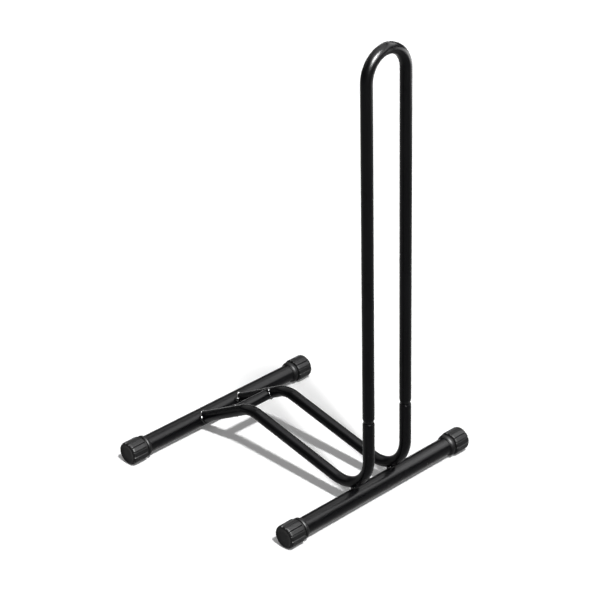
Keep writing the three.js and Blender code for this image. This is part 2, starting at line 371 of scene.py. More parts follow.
@dataclass
class CentreLine:
    """A tube's centre line: straight runs between corners, with a round bend at each inner corner."""

    corners: list[Vector]
    radii: list[float] = field(default_factory=list)
    bend_step: float = math.radians(2.5)
    stretches: list[Straight | Arc] = field(init=False, default_factory=list)

    def __post_init__(self) -> None:
        """Works the stretches out from the corners."""
        start = self.corners[0]
        for i in range(1, len(self.corners)):
            corner = self.corners[i]
            heading = (corner - start).normalized()
            if i == len(self.corners) - 1:
                self.stretches.append(Straight(start, heading, (corner - start).length))
                break
            after = (self.corners[i + 1] - corner).normalized()
            turn = heading.angle(after)
            axis = heading.cross(after).normalized()
            radius = self.radii[i - 1]
            setback = radius * math.tan(turn / 2)
            bend_start = corner - heading * setback
            if (bend_start - start).length > SEAM:
                self.stretches.append(Straight(start, heading, (bend_start - start).length))
            centre = bend_start + axis.cross(heading) * radius
            self.stretches.append(Arc(centre, bend_start - centre, axis, radius, turn))
            start = corner + after * setback

    @property
    def length(self) -> float:
        """The line's whole length."""
        return sum(stretch.length for stretch in self.stretches)

    def at(self, run: float) -> Place:
        """The place that far along the line.

        Args:
            run: The way along the line from its first corner.

        Returns:
            The place.
        """
        for stretch in self.stretches[:-1]:
            if run <= stretch.length:
                return stretch.at(run)
            run -= stretch.length
        return self.stretches[-1].at(run)

    def runs(self, extra: Iterable[float] = ()) -> list[float]:
        """The runs that a skin needs a ring at.

        Args:
            extra: Further runs, such as where the tube's width changes.

        Returns:
            The runs in order, from one end to the other.
        """
        found = [0.0, self.length, *extra]
        before = 0.0
        for stretch in self.stretches:
            if isinstance(stretch, Arc):
                count = max(2, round(stretch.turn / self.bend_step))
                found += [before + stretch.length * k / count for k in range(count + 1)]
            before += stretch.length
        found.sort()
        kept = found[:1]
        for run in found[1:]:
            if run - kept[-1] > 1e-5:
                kept.append(run)
        return kept


@dataclass
class TubeStock:
    """A length of round tube on a centre line that lies in one plane."""

    line: CentreLine
    plane_normal: Vector
    radius: Callable[[float], float]
    wall: float = 1.5 * MM
    bore: float | None = None  # the bore's radius, where it doesn't follow the outside
    rounding: tuple[float, float] = (0.4 * MM, 0.4 * MM)  # of the edges at the two ends
    rounding_steps: int = 3
    flattening: float = 0.06  # how much a bend narrows the section in its plane
    widening: float = 0.03  # and how much it widens it across

    def inner(self, run: float) -> float:
        """The bore's radius at a run."""
        return self.radius(run) - self.wall if self.bore is None else self.bore

    def ring(self, run: float, radius: float) -> Ring:
        """The tube's section at a run, scaled to a radius.

        Args:
            run: The way along the tube.
            radius: The section's radius where the tube is straight.

        Returns:
            The ring, flattened and widened where the tube bends.
        """
        place = self.line.at(run)
        other = self.plane_normal.cross(place.tangent).normalized()
        return Ring(
            place.point,
            self.plane_normal * radius * (1 + self.widening * place.bend),
            other * radius * (1 - self.flattening * place.bend),
            run,
        )

    def end_rings(self, run: float, inwards: int, rounding: float) -> list[Ring]:
        """The rings that go round the tube's edge from the outside to the bore.

        Args:
            run: Where the end is.
            inwards: 1 where the tube lies further along the line, and -1 where it lies before.
            rounding: The radius of the edges.

        Returns:
            The rings, from outside to inside.
        """
        outer = self.radius(run)
        inner = self.inner(run)
        angles = [math.pi / 2 * k / self.rounding_steps for k in range(self.rounding_steps + 1)]
        rings = []
        for angle in angles:
            back = rounding * (1 - math.sin(angle))
            rings.append(self.ring(run + inwards * back, outer - rounding * (1 - math.cos(angle))))
        for angle in reversed(angles):
            back = rounding * (1 - math.sin(angle))
            rings.append(self.ring(run + inwards * back, inner + rounding * (1 - math.cos(angle))))
        return rings

    def rings(self, extra: Iterable[float] = ()) -> list[Ring]:
        """The rings of the whole tube: along its outside, round one edge, back in its bore, round the other.

        Args:
            extra: Runs where the tube's width changes.

        Returns:
            The rings, with the first one again at the end, so that the skin closes on itself.
        """
        length = self.line.length
        inner_runs = [
            run for run in self.line.runs(extra) if self.rounding[0] < run < length - self.rounding[1]
        ]
        outside = [self.ring(run, self.radius(run)) for run in inner_runs]
        bore = [self.ring(run, self.inner(run)) for run in reversed(inner_runs)]
        far_edge = self.end_rings(length, -1, self.rounding[1])
        near_edge = self.end_rings(0.0, 1, self.rounding[0])[::-1]
        loop = outside + far_edge + bore + near_edge
        return loop + loop[:1]


# --------------------------------------------------------------------------------------- skins by nodes


class SkinTree:
    """A Geometry Nodes tree that lays a skin over a row of rings.

    The object's own points are the rings' centres. The tree makes a grid with a row for each ring, puts
    each grid point where its ring and its angle say, and closes the seam and the poles.
    """

    SOCKETS: dict[str, tuple[str, float | int]] = {"Sides": ("NodeSocketInt", 64)}

    def __init__(self, name: str) -> None:
        """Builds the tree.

        Args:
            name: The tree's name.
        """
        self.tree = bpy.data.node_groups.new(name, "GeometryNodeTree")
        face = self.tree.interface
        self.ids: dict[str, str] = {}
        face.new_socket("Geometry", in_out="INPUT", socket_type="NodeSocketGeometry")
        for socket, (kind, default) in self.SOCKETS.items():
            item = face.new_socket(socket, in_out="INPUT", socket_type=kind)
            item.default_value = default
            self.ids[socket] = item.identifier
        item = face.new_socket("Material", in_out="INPUT", socket_type="NodeSocketMaterial")
        self.ids["Material"] = item.identifier
        face.new_socket("Geometry", in_out="OUTPUT", socket_type="NodeSocketGeometry")
        self.given = add_node(self.tree, "NodeGroupInput").outputs
        self._build()

    def maths(self, operation: str, *values: bpy.types.NodeSocket | float) -> bpy.types.NodeSocket:
        """Adds one sum of up to three numbers."""
        node = add_node(self.tree, "ShaderNodeMath", dict(enumerate(values)), operation=operation)
        return node.outputs["Value"]

    def vectors(self, operation: str, *values: bpy.types.NodeSocket) -> bpy.types.NodeSocket:
        """Adds one sum of vectors.

        Args:
            operation: The sum. With SCALE, the second value is a number.
            *values: What goes in.

        Returns:
            The socket that carries the result.
        """
        inputs = dict(enumerate(values))
        if operation == "SCALE":
            inputs = {0: values[0], "Scale": values[1]}
        node = add_node(self.tree, "ShaderNodeVectorMath", inputs, operation=operation)
        return node.outputs["Vector"]

    def sampled(self, name: str, kind: str, row: bpy.types.NodeSocket) -> bpy.types.NodeSocket:
        """The value of one of the rings' attributes at a row.

        Args:
            name: The attribute's name, or "position".
            kind: FLOAT or FLOAT_VECTOR.
            row: The ring's number.

        Returns:
            The socket that carries the value.
        """
        source = add_node(self.tree, "GeometryNodeInputNamedAttribute", {"Name": name}, data_type=kind)
        value = source.outputs["Attribute"]
        node = add_node(
            self.tree,
            "GeometryNodeSampleIndex",
            {"Geometry": self.given["Geometry"], "Value": value, "Index": row},
            data_type=kind,
            domain="POINT",
        )
        return node.outputs["Value"]

    def swell(self, angle: bpy.types.NodeSocket, row: bpy.types.NodeSocket) -> bpy.types.NodeSocket | float:
        """The factor on a ring's radius at an angle. A plain skin has none."""
        del angle, row
        return 1.0

    def _build(self) -> None:
        """Adds the nodes that every skin has."""
        count = add_node(
            self.tree,
            "GeometryNodeAttributeDomainSize",
            {"Geometry": self.given["Geometry"]},
            component="MESH",
        ).outputs["Point Count"]
        columns = self.maths("ADD", self.given["Sides"], 1.0)
        grid = add_node(self.tree, "GeometryNodeMeshGrid", {"Vertices X": count, "Vertices Y": columns})
        index = add_node(self.tree, "GeometryNodeInputIndex").outputs["Index"]
        row = self.maths("FLOOR", self.maths("DIVIDE", self.maths("ADD", index, 0.5), columns))
        column = self.maths("SUBTRACT", index, self.maths("MULTIPLY", row, columns))
        angle = self.maths("MULTIPLY", self.maths("DIVIDE", column, self.given["Sides"]), 2 * math.pi)
        across = self.sampled("across", "FLOAT_VECTOR", row)
        upward = self.sampled("upward", "FLOAT_VECTOR", row)
        swell = self.swell(angle, row)
        out_across = self.maths("MULTIPLY", self.maths("COSINE", angle), swell)
        out_upward = self.maths("MULTIPLY", self.maths("SINE", angle), swell)
        offset = self.vectors(
            "ADD", self.vectors("SCALE", across, out_across), self.vectors("SCALE", upward, out_upward)
        )
        place = self.vectors("ADD", self.sampled("position", "FLOAT_VECTOR", row), offset)
        moved = add_node(
            self.tree, "GeometryNodeSetPosition", {"Geometry": grid.outputs["Mesh"], "Position": place}
        )
        length = add_node(
            self.tree, "ShaderNodeVectorMath", {0: across}, operation="LENGTH"
        ).outputs["Value"]
        skin_place = add_node(
            self.tree,
            "ShaderNodeCombineXYZ",
            {
                "X": self.maths("MULTIPLY", self.maths("COSINE", angle), length),
                "Y": self.maths("MULTIPLY", self.maths("SINE", angle), length),
                "Z": self.sampled("run", "FLOAT", row),
            },
        )
        marked = add_node(
            self.tree,
            "GeometryNodeStoreNamedAttribute",
            {
                "Geometry": moved.outputs["Geometry"],
                "Name": "skin_place",
                "Value": skin_place.outputs["Vector"],
            },
            data_type="FLOAT_VECTOR",
            domain="POINT",
        )
        closed = add_node(
            self.tree,
            "GeometryNodeMergeByDistance",
            {"Geometry": marked.outputs["Geometry"], "Distance": SEAM},
        )
        smooth = add_node(self.tree, "GeometryNodeSetShadeSmooth", {"Geometry": closed.outputs["Geometry"]})
        real = add_node(
            self.tree, "GeometryNodeRealizeInstances", {"Geometry": smooth.outputs["Geometry"]}
        )
        dressed = add_node(
            self.tree,
            "GeometryNodeSetMaterial",
            {"Geometry": real.outputs["Geometry"], "Material": self.given["Material"]},
        )
        add_node(self.tree, "NodeGroupOutput", {"Geometry": dressed.outputs["Geometry"]})

    def lay(
        self, name: str, rings: list[Ring], finish: bpy.types.Material, **sizes: float | int
    ) -> bpy.types.Object:
        """Lays the skin over rings and turns it into a plain mesh.

        Args:
            name: The new object's name.
            rings: The rings, in order.
            finish: The piece's material.
            **sizes: Values for the tree's inputs, by their names with _ for a space.

        Returns:
            The object, at the origin, with its place in its mesh.
        """
        mesh = bpy.data.meshes.new(name + "_rings")
        mesh.from_pydata([ring.centre for ring in rings], [], [])
        for attribute, kind, key in (
            ("across", "FLOAT_VECTOR", "vector"),
            ("upward", "FLOAT_VECTOR", "vector"),
            ("run", "FLOAT", "value"),
            ("relief", "FLOAT", "value"),
        ):
            values = np.array([getattr(ring, attribute) for ring in rings], np.float32)
            mesh.attributes.new(attribute, kind, "POINT").data.foreach_set(key, values.ravel())
        piece = bpy.data.objects.new(name, mesh)
        bpy.context.scene.collection.objects.link(piece)
        modifier = piece.modifiers.new("skin", "NODES")
        modifier.node_group = self.tree
        for size, value in sizes.items():
            modifier[self.ids[size.replace("_", " ")]] = value
        modifier[self.ids["Material"]] = finish
        graph = bpy.context.evaluated_depsgraph_get()
        skin = bpy.data.meshes.new_from_object(piece.evaluated_get(graph), depsgraph=graph)
        piece.modifiers.remove(modifier)
        piece.data = skin
        bpy.data.meshes.remove(mesh)
        skin.name = name
        return piece


class RibbedTree(SkinTree):
    """A skin with flat lands round it and a round-bottomed flute between each two."""

    SOCKETS = {
        "Sides": ("NodeSocketInt", 224),
        "Ribs": ("NodeSocketInt", 14),
        "Flute Width": ("NodeSocketFloat", 1.8 * MM),
        "Flute Depth": ("NodeSocketFloat", 1.1 * MM),
        "Barrel Radius": ("NodeSocketFloat", 18.5 * MM),
    }
    STEEPNESS = 1.35  # above 1, a flute reaches its full depth before its middle
    ROUNDING = 0.3  # of the flute's bottom, as a share of its depth

    def swell(self, angle: bpy.types.NodeSocket, row: bpy.types.NodeSocket) -> bpy.types.NodeSocket:
        """The factor on a ring's radius: a flat land's, less the flute near the land's edges.

        Args:
            angle: The point's angle in its ring.
            row: The ring's number.

        Returns:
            The socket that carries the factor.
        """
        sector = self.maths("DIVIDE", 2 * math.pi, self.given["Ribs"])
        half = self.maths("DIVIDE", sector, 2.0)
        shifted = self.maths("FLOORED_MODULO", self.maths("ADD", angle, half), sector)
        off_centre = self.maths("ABSOLUTE", self.maths("SUBTRACT", shifted, half))
        flat = self.maths("DIVIDE", 1.0, self.maths("COSINE", off_centre))
        from_edge = self.maths("SUBTRACT", half, off_centre)
        to_edge = self.maths("MULTIPLY", from_edge, self.given["Barrel Radius"])
        in_flute = self.maths("DIVIDE", to_edge, self.maths("DIVIDE", self.given["Flute Width"], 2.0))
        bottom = self.maths("SUBTRACT", 1.0, self.maths("MINIMUM", in_flute, 1.0))
        steep = self.maths("MULTIPLY", bottom, self.STEEPNESS)
        rounded = self.maths("SMOOTH_MIN", steep, 1.0, self.ROUNDING)
        share = self.maths("DIVIDE", self.given["Flute Depth"], self.given["Barrel Radius"])
        fluted = self.maths("SUBTRACT", flat, self.maths("MULTIPLY", rounded, share))
        relief = self.sampled("relief", "FLOAT", row)
        return self.maths("MULTIPLY_ADD", self.maths("SUBTRACT", fluted, 1.0), relief, 1.0)


class BeadTree(SkinTree):
    """A weld bead's skin: a ripple for each pass of the torch, and the lumps between them."""

    SOCKETS = {
        "Sides": ("NodeSocketInt", 20),
        "Ripples": ("NodeSocketInt", 18),
        "Ripple Height": ("NodeSocketFloat", 0.14),
        "Lump Height": ("NodeSocketFloat", 0.3),
        "Lump Size": ("NodeSocketFloat", 3.5 * MM),
    }
    CURL = 0.9  # how far a ripple's edges trail behind its middle, in radians of one ripple
    RIPPLE_MIDDLE = 0.6  # near the mean of a sine's size, so that ripples don't thicken the bead
    LUMPS_FROM = 0.45  # noise above this is a lump
    SLIM = 0.65  # the bead's thickness between the lumps

    def swell(self, angle: bpy.types.NodeSocket, row: bpy.types.NodeSocket) -> bpy.types.NodeSocket:
        """The factor on a ring's radius: crescents along the bead, and lumps that follow no order.

        Args:
            angle: The point's angle in its ring.
            row: The ring's number.

        Returns:
            The socket that carries the factor.
        """
        way_round = self.sampled("relief", "FLOAT", row)
        phase = self.maths("MULTIPLY", self.maths("MULTIPLY", way_round, self.given["Ripples"]), math.pi)
        trailing = self.maths("MULTIPLY_ADD", self.maths("COSINE", angle), self.CURL, phase)
        crest = self.maths("ABSOLUTE", self.maths("SINE", trailing))
        above_middle = self.maths("SUBTRACT", crest, self.RIPPLE_MIDDLE)
        ripple = self.maths("MULTIPLY", above_middle, self.given["Ripple Height"])
        noise = add_node(
            self.tree,
            "ShaderNodeTexNoise",
            {
                "Vector": self.sampled("position", "FLOAT_VECTOR", row),
                "Scale": self.maths("DIVIDE", 1.0, self.given["Lump Size"]),
                "Detail": 1.0,
            },
        ).outputs["Fac"]
        above = self.maths("MAXIMUM", self.maths("SUBTRACT", noise, self.LUMPS_FROM), 0.0)
        lump = self.maths("MULTIPLY", above, self.given["Lump Height"])
        return self.maths("ADD", self.maths("ADD", ripple, lump), self.SLIM)


def tidy(piece: bpy.types.Object) -> None:
    """Turns a piece's faces outwards and keeps its crisp edges crisp.

    Args:
        piece: The piece, as a plain mesh.
    """
    mesh = piece.data
    work = bmesh.new()
    work.from_mesh(mesh)
    bmesh.ops.dissolve_degenerate(work, dist=SEAM, edges=work.edges)
    bmesh.ops.recalc_face_normals(work, faces=work.faces)
    for face in work.faces:
        face.smooth = True
    for edge in work.edges:
        edge.smooth = len(edge.link_faces) == 2 and edge.calc_face_angle(0.0) < SHARP_ANGLE
    work.to_mesh(mesh)
    work.free()


def cope(
    piece: bpy.types.Object, run: float, origin: Vector, heading: Vector, crossed: Vector, radius: float
) -> None:
    """Cuts a tube's end to saddle the round bar that its centre line ends on.

    Args:
        piece: The tube.
        run: Which end, as the run of its rings.
        origin: The point where the two centre lines meet.
        heading: From that point along the tube.
        crossed: The direction of the crossed bar.
        radius: The crossed bar's radius.
    """
    mesh = piece.data
    count = len(mesh.vertices)
    places = np.empty(count * 3, np.float32)
    mesh.attributes["skin_place"].data.foreach_get("vector", places)
    at_end = np.abs(places.reshape(count, 3)[:, 2] - run) < END_REACH
    points = np.empty(count * 3, np.float32)
    mesh.vertices.foreach_get("co", points)
    points = points.reshape(count, 3)
    height = (points[at_end] - np.array(origin)) @ np.array(heading.cross(crossed).normalized())
    reach = np.sqrt(np.maximum(radius**2 - height**2, 0.0))
    points[at_end] += reach[:, None] * np.array(heading)
    mesh.vertices.foreach_set("co", points.ravel().astype(np.float32))
    mesh.update()


# ----------------------------------------------------------------------------------------- the piece kit


@dataclass
class Workshop:
    """What every sub-assembly is made with: the skins and the finishes."""

    plain: SkinTree = field(default_factory=lambda: SkinTree("tube_skin"))
    ribbed: RibbedTree = field(default_factory=lambda: RibbedTree("ribbed_skin"))
    bead: BeadTree = field(default_factory=lambda: BeadTree("weld_bead_skin"))
    coat: bpy.types.Material = field(default_factory=lambda: PowderCoat().material())
    weld_coat: bpy.types.Material = field(default_factory=lambda: WELD_COAT.material())
    cap: bpy.types.Material = field(default_factory=lambda: MouldedPolypropylene().material())

    def deliver(self, piece: bpy.types.Object, body: str, node: str, slot: Slot) -> bpy.types.Object:
        """Finishes a piece and hands it to the frame.

        Args:
            piece: The piece, in place.
            body: The body that it rides on.
            node: The CAD node that it stands for.
            slot: The record's material slot; not used.

        Returns:
            The piece.
        """
        tidy(piece)
        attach(piece, body)
        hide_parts(node)
        LOG.info("%s: %d faces, for %s", piece.name, len(piece.data.polygons), node)
        return piece


@dataclass(frozen=True)
class Layout:
    """Where things are, read from the frame's boxes."""

    foot_axis: dict[End, Vector]
    foot_radius: float
    rail_x: float
    rail_radius: float
    rim: float
    upright_y: float
    hoop_top: float
    spigot_tip: float
    bar_axis: Vector
    bar_radius: float

    @classmethod
    def read(cls) -> Layout:
        """Reads the layout.

        Returns:
            The layout, in metres.
        """
        axes = {}
        for end in End:
            low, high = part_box(f"{end.value}_foot_tube")
            axes[end] = Vector((0, (low.y + high.y) / 2, (low.z + high.z) / 2))
        foot_low, foot_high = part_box("front_foot_tube")
        rail_low, rail_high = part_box("right_rail")
        hoop_low, hoop_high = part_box("hoop")
        bar_low, bar_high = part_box("cross_bar")
        return cls(
            foot_axis=axes,
            foot_radius=(foot_high.z - foot_low.z) / 2,
            rail_x=(rail_low.x + rail_high.x) / 2,
            rail_radius=(rail_high.x - rail_low.x) / 2,
            rim=rail_high.z,
            upright_y=(hoop_low.y + hoop_high.y) / 2,
            hoop_top=hoop_high.z,
            spigot_tip=hoop_low.z,
            bar_axis=Vector((0, (bar_low.y + bar_high.y) / 2, (bar_low.z + bar_high.z) / 2)),
            bar_radius=(bar_high.z - bar_low.z) / 2,
        )


@dataclass
class EndCap:
    """A ribbed cap pushed over a foot tube's end."""

    bore_gap: float = 0.3 * MM
    lip: float = 0.5 * MM  # the chamfer at the bore's mouth
    end_wall: float = 3.5 * MM
    ribs: int = 14
    steps_per_rib: int = 16
    flute_width: float = 2.3 * MM
    flute_depth: float = 1.6 * MM
    collar_length: float = 7.6 * MM
    collar_radius: float = 17.3 * MM
    mouth_radius: float = 15.1 * MM
    groove_width: float = 2.4 * MM
    groove_radius: float = 15.1 * MM
    groove_corner: float = 0.3 * MM  # from the groove's floor to the barrel's rounding
    relief_at_groove: float = 0.35  # the ribs' share at the barrel's edge there
    edge: float = 2.2 * MM  # the barrel's rounding at the groove
    end_edge: float = 3.8 * MM  # and at the end face
    dish_radius: float = 13.5 * MM
    dish_slope: float = 0.6 * MM  # half the width of the dish's sloping edge
    dish_depth: float = 0.9 * MM
    collar_start: float = 0.06  # the share of the collar's length that its flat mouth takes
    collar_skew: float = 1.25  # above 1, the collar rises gently and falls steeply at the groove
    collar_fullness: float = 0.5  # below 1, it is rounder than a sine
    collar_steps: int = 14
    edge_steps: int = 7

    def profile(self, length: float, radius: float, bore: float) -> list[tuple[float, float, float]]:
        """The cap's turned shape.

        Args:
            length: From the mouth to the end face.
            radius: The barrel's, to the middle of a land.
            bore: The bore's radius.

        Returns:
            Points as (distance from the mouth, radius, relief), from the bore's floor round to the end face.
        """
        ribs_from = self.collar_length + self.groove_width
        points = [(length - self.end_wall, 0.0, 0.0), (length - self.end_wall, bore, 0.0)]
        points += [(self.lip, bore, 0.0), (0.0, bore + self.lip, 0.0)]
        bulge = self.collar_radius - (self.mouth_radius + self.groove_radius) / 2
        for k in range(self.collar_steps + 1):
            share = k / self.collar_steps
            base = self.mouth_radius + (self.groove_radius - self.mouth_radius) * share
            height = math.sin(math.pi * share**self.collar_skew) ** self.collar_fullness
            along = self.collar_length * (self.collar_start + (1 - self.collar_start) * share)
            points.append((along, base + bulge * height, 0.0))
        points.append((ribs_from - self.groove_corner, self.groove_radius, 0.0))
        for k in range(self.edge_steps + 1):
            angle = math.pi / 2 * k / self.edge_steps
            along = ribs_from + self.edge * (1 - math.cos(angle))
            relief = self.relief_at_groove + (1 - self.relief_at_groove) * math.sin(angle)
            points.append((along, radius - self.edge * (1 - math.sin(angle)), relief))
        for share in (0.25, 0.5, 0.75):
            along = ribs_from + self.edge + (length - ribs_from - self.edge - self.end_edge) * share
            points.append((along, radius, 1.0))
        for k in range(self.edge_steps + 1):
            angle = math.pi / 2 * k / self.edge_steps
            along = length - self.end_edge * (1 - math.sin(angle))
            points.append((along, radius - self.end_edge * (1 - math.cos(angle)), math.cos(angle) ** 0.5))
        dish_floor = length - self.dish_depth
        points.append((length, self.dish_radius + self.dish_slope, 0.0))
        points.append((dish_floor, self.dish_radius - self.dish_slope, 0.0))
        points.append((dish_floor, self.dish_radius / 2, 0.0))
        points.append((dish_floor, 0.0, 0.0))
        return points

    def build(self, shop: Workshop, layout: Layout, end: End, side: Side) -> None:
        """Makes one cap.

        Args:
            shop: The workshop.
            layout: Where things are.
            end: The foot that the cap is on.
            side: The foot's end that it is on.
        """
        node = f"{end.value}_{side.word}_cap"
        low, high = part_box(node)
        length = high.x - low.x
        mouth = (low.x if side is Side.RIGHT else high.x) * AXIS_X + layout.foot_axis[end]
        outwards = AXIS_X * side.value
        rings = [
            Ring(mouth + outwards * along, -AXIS_Z * radius, AXIS_Y * radius, along, relief)
            for along, radius, relief in self.profile(
                length, layout.foot_axis[end].z, layout.foot_radius + self.bore_gap
            )
        ]
        cap = shop.ribbed.lay(
            f"{node}_moulding",
            rings,
            shop.cap,
            Sides=self.ribs * self.steps_per_rib,
            Ribs=self.ribs,
            Flute_Width=self.flute_width,
            Flute_Depth=self.flute_depth,
            Barrel_Radius=layout.foot_axis[end].z,
        )
        shop.deliver(cap, "base", node, Slot.CAP)


@dataclass
class Foot:
    """A foot: a straight tube with a cap pushed over each end."""

    end: End
    sides: int = 96
    ring_spacing: float = 12 * MM
    cap: EndCap = field(default_factory=EndCap)

    def build(self, shop: Workshop, layout: Layout) -> None:
        """Makes the tube and its caps.

        Args:
            shop: The workshop.
            layout: Where things are.
        """
        node = f"{self.end.value}_foot_tube"
        low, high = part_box(node)
        axis = layout.foot_axis[self.end]
        line = CentreLine([axis + AXIS_X * low.x, axis + AXIS_X * high.x])
        tube = TubeStock(line, AXIS_Z, lambda run: layout.foot_radius)
        count = round(line.length / self.ring_spacing)
        rings = tube.rings([line.length * k / count for k in range(1, count)])
        piece = shop.plain.lay(f"{node}_steel", rings, shop.coat, Sides=self.sides)
        shop.deliver(piece, "base", node, Slot.COAT)
        for side in Side:
            self.cap.build(shop, layout, self.end, side)


@dataclass
class BeadSize:
    """A weld bead's section and its ripples."""

    radius: float
    stop: float = 0.47  # the share of the way round at which the torch stopped and left a drop
    stop_swell: float = 1.6
    stop_length: float = 4.5 * MM
    ripple_length: float = 2.8 * MM
    ripple_height: float = 0.1
    lump_height: float = 2.5
    lump_size: float = 6.0 * MM
    sides: int = 20

    def lay(self, shop: Workshop, name: str, node: str, points: list[Vector], outward: list[Vector]) -> None:
        """Lays a bead round a closed line.

        Args:
            shop: The workshop.
            name: The bead's name.
            node: The CAD node that it stands for.
            points: The line, evenly cut, without its first point again at the end.
            outward: At each point, the direction away from the bar that the bead goes round.
        """
        count = len(points)
        length = sum((points[k] - points[k - 1]).length for k in range(count))
        rings = []
        for k in range(count + 1):
            here = k % count
            tangent = (points[(here + 1) % count] - points[here - 1]).normalized()
            to_stop = ((k / count - self.stop + 0.5) % 1.0 - 0.5) * length / self.stop_length
            radius = self.radius * (1 + self.stop_swell * math.exp(-((2 * to_stop) ** 2)))
            across = (outward[here] - tangent * outward[here].dot(tangent)).normalized() * radius
            upward = tangent.cross(across)
            rings.append(Ring(points[here], across, upward, length * k / count, k / count))
        piece = shop.bead.lay(
            name,
            rings,
            shop.weld_coat,
            Sides=self.sides,
            Ripples=round(length / self.ripple_length),
            Ripple_Height=self.ripple_height,
            Lump_Height=self.lump_height,
            Lump_Size=self.lump_size,
        )
        shop.deliver(piece, "base", node, Slot.COAT)


def cope_line(
    origin: Vector, heading: Vector, crossed: Vector, bar_radius: float, crossed_radius: float, count: int
) -> tuple[list[Vector], list[Vector]]:
    """The line along which a bar's end meets the side of a round bar that crosses it.

    Args:
        origin: The point where the two centre lines meet.
        heading: From that point along the bar.
        crossed: The direction of the crossed bar.
        bar_radius: The bar's radius.
        crossed_radius: The crossed bar's radius.
        count: How many points to give.

    Returns:
        The line's points, and at each the direction away from the bar's centre line.
    """
    up = heading.cross(crossed).normalized()
    points, outward = [], []
    for k in range(count):
        angle = 2 * math.pi * k / count
        away = crossed * math.cos(angle) + up * math.sin(angle)
        height = bar_radius * math.sin(angle)
        reach = math.sqrt(crossed_radius**2 - height**2)
        points.append(origin + away * bar_radius + heading * reach)
        outward.append(away)
    return points, outward


